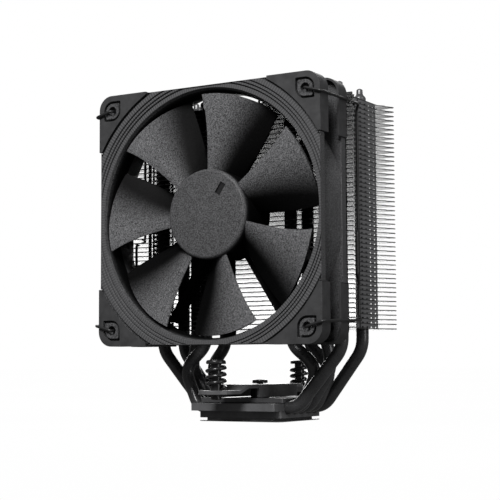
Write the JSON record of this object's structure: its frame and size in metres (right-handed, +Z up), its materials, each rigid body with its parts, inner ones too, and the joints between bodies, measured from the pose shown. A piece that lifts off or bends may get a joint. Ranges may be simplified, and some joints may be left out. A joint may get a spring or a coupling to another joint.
{
  "type": "cpu tower cooler",
  "caption": "Black single-tower air cooler with U-shaped heat pipes, a fin stack, a spring-loaded mounting bar and a 120 mm fan held by wire clips.",
  "frame": {"origin": "centre of the contact face at the bottom of the base", "axes": "+Z up the tower, -Y towards the fan side, +X to the right when the fan is seen from the front"},
  "size_m": [0.1244, 0.0983, 0.158],
  "materials": {
    "black_fins": "matt black coating",
    "black_pipe": "satin black coating on copper",
    "black_base": "satin black coating on copper",
    "black_steel": "glossy black coating",
    "fan_plastic": "fine matt grain",
    "pad_rubber": "smooth dark grey rubber",
    "motor_steel": "bare steel",
    "magnet": "dull ferrite",
    "bearing_brass": "turned",
    "winding": "enamelled copper wire",
    "board": "solder resist"
  },
  "bodies": {
    "heat_sink": {"fin_stack": "black_fins", "heat_pipe_1": "black_pipe", "heat_pipe_2": "black_pipe", "heat_pipe_3": "black_pipe", "heat_pipe_4": "black_pipe", "heat_pipe_5": "black_pipe", "base_block": "black_base", "top_plate": "black_base", "mounting_bar": "black_steel", "bar_screw": "black_steel", "screw_spring_front": "black_steel", "screw_spring_rear": "black_steel", "fan_frame": "fan_plastic", "bearing_cap": "fan_plastic", "front_pad_top_right": "pad_rubber", "front_pad_top_left": "pad_rubber", "front_pad_bottom_left": "pad_rubber", "front_pad_bottom_right": "pad_rubber", "rear_pad_top_right": "pad_rubber", "rear_pad_top_left": "pad_rubber", "rear_pad_bottom_left": "pad_rubber", "rear_pad_bottom_right": "pad_rubber", "stator_core": "motor_steel", "bearing_housing": "bearing_brass", "bearing_sleeve": "bearing_brass", "stator_windings": "winding", "motor_board": "board"},
    "rotor": {"impeller": "fan_plastic", "rotor_yoke": "motor_steel", "rotor_magnet": "magnet", "rotor_shaft": "motor_steel", "shaft_retainer": "motor_steel"},
    "front_plunger": {"retaining_ring_front": "black_steel"},
    "front_screw": {"spring_screw_front": "black_steel"},
    "rear_plunger": {"retaining_ring_rear": "black_steel"},
    "rear_screw": {"spring_screw_rear": "black_steel"},
    "left_clip": {"fan_clip_left": "black_steel"},
    "right_clip": {"fan_clip_right": "black_steel"}
  },
  "joints": [
    {"name": "impeller_spin", "type": "hinge", "parent": "heat_sink", "child": "rotor", "pos_m": [0, -0.036, 0.0954], "axis": [0, -1, 0], "continuous": true},
    {"name": "front_screw_press", "type": "slide", "parent": "heat_sink", "child": "front_plunger", "axis": [0, 0, -1], "range_m": [0, 0.005], "stiffness_N_per_m": 4000, "springref_m": -0.0015, "deforming": ["screw_spring_front"]},
    {"name": "front_screw_turn", "type": "hinge", "parent": "front_plunger", "child": "front_screw", "pos_m": [0, -0.0395, 0.02], "axis": [0, 0, -1], "continuous": true},
    {"name": "rear_screw_press", "type": "slide", "parent": "heat_sink", "child": "rear_plunger", "axis": [0, 0, -1], "range_m": [0, 0.005], "stiffness_N_per_m": 4000, "springref_m": -0.0015, "deforming": ["screw_spring_rear"]},
    {"name": "rear_screw_turn", "type": "hinge", "parent": "rear_plunger", "child": "rear_screw", "pos_m": [0, 0.0395, 0.02], "axis": [0, 0, -1], "continuous": true},
    {"name": "left_clip_swing", "type": "hinge", "parent": "heat_sink", "child": "left_clip", "pos_m": [-0.0525, -0.0485, 0.0954], "axis": [0, 0, 1], "range_deg": [0, 30]},
    {"name": "right_clip_swing", "type": "hinge", "parent": "heat_sink", "child": "right_clip", "pos_m": [0.0525, -0.0485, 0.0954], "axis": [0, 0, -1], "range_deg": [0, 30]}
  ]
}
